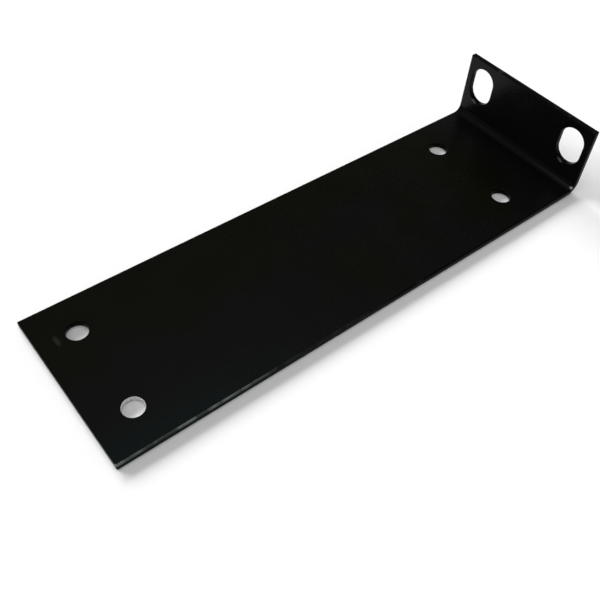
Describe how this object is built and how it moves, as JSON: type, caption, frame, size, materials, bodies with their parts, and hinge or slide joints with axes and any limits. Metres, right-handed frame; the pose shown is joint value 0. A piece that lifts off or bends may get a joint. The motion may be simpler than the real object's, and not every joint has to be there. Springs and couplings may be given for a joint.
{
  "type": "rack mount ear bracket",
  "caption": "Folded black sheet-steel rack ear: a long base plate with screw holes for a chassis side, and a short upright ear with oblong slots for a rack rail.",
  "frame": {"origin": "on the underside of the base plate, midway along the bracket's overall length and across its width", "axes": "+X along the base plate towards the ear, +Y across the strip, +Z the way the ear stands, away from the chassis side"},
  "size_m": [0.139, 0.043, 0.02],
  "materials": {
    "black_paint": "satin black powder coat on sheet steel, with the edges rounded by the paint"
  },
  "bodies": {
    "root": {"ear_bracket": "black_paint"}
  },
  "joints": []
}
